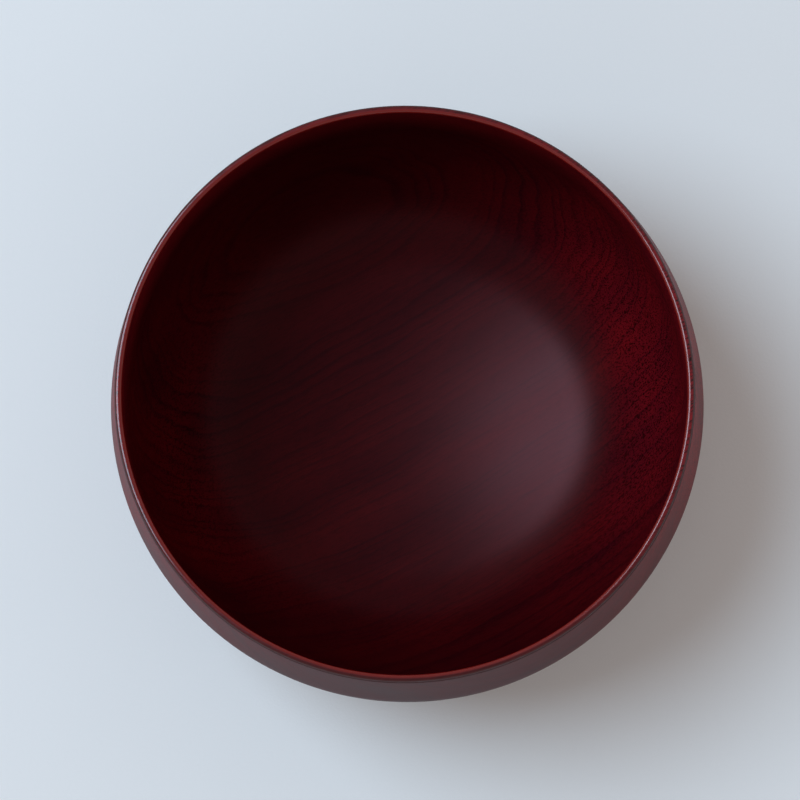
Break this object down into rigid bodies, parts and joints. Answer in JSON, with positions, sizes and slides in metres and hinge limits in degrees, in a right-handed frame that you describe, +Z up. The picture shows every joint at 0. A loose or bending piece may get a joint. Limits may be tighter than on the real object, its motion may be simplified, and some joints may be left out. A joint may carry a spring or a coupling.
{
  "type": "lacquered wooden rice bowl",
  "caption": "Deep round turned-wood rice bowl with an incurved rim, a thin rounded lip and a foot ring, lacquered inside and out.",
  "frame": {"origin": "on the ground, in the middle of the foot ring", "axes": "+Z up, along the axis that the bowl was turned about; +X and +Y have no meaning on a round bowl"},
  "size_m": [0.12, 0.12, 0.07],
  "materials": {
    "bare_wood": "turned hardwood, hidden under the lacquer",
    "outside_lacquer": "satin wiped lacquer, dark red, with the grain showing through",
    "inside_lacquer": "satin wiped lacquer, dark red, with the grain showing through",
    "underside_lacquer": "satin lacquer, dark red, a little duller than the wall's"
  },
  "bodies": {
    "root": {"wood_body": "bare_wood", "outside_lacquer": "outside_lacquer", "inside_lacquer": "inside_lacquer", "foot_lacquer": "underside_lacquer"}
  },
  "joints": []
}
